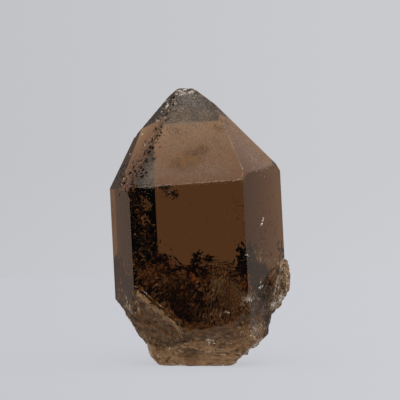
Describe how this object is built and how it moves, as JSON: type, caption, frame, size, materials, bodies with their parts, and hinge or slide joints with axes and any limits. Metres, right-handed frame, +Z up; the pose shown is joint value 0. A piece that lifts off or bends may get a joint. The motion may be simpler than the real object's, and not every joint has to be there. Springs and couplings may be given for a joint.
{
  "type": "smoky quartz crystal",
  "caption": "Stout six-sided smoky quartz crystal with a six-sided point, broken off and cut flat at its lower end, where it stands.",
  "frame": {"origin": "bottom centre of the bounding box, on the flat cut that the crystal stands on", "axes": "+Z up along the crystal, towards its point; +X to the right as seen from the front; the broad front prism face looks along -Y"},
  "size_m": [0.036, 0.0252, 0.0553],
  "materials": {
    "smoky_quartz": "clear brown crystal, smooth on the grown faces and rough where it is broken",
    "healed_fractures": "thin pale and iron stained veils and fibres inside the crystal",
    "inclusions": "dull dark and golden mineral specks inside the crystal"
  },
  "bodies": {
    "root": {"crystal": "smoky_quartz"}
  },
  "joints": []
}
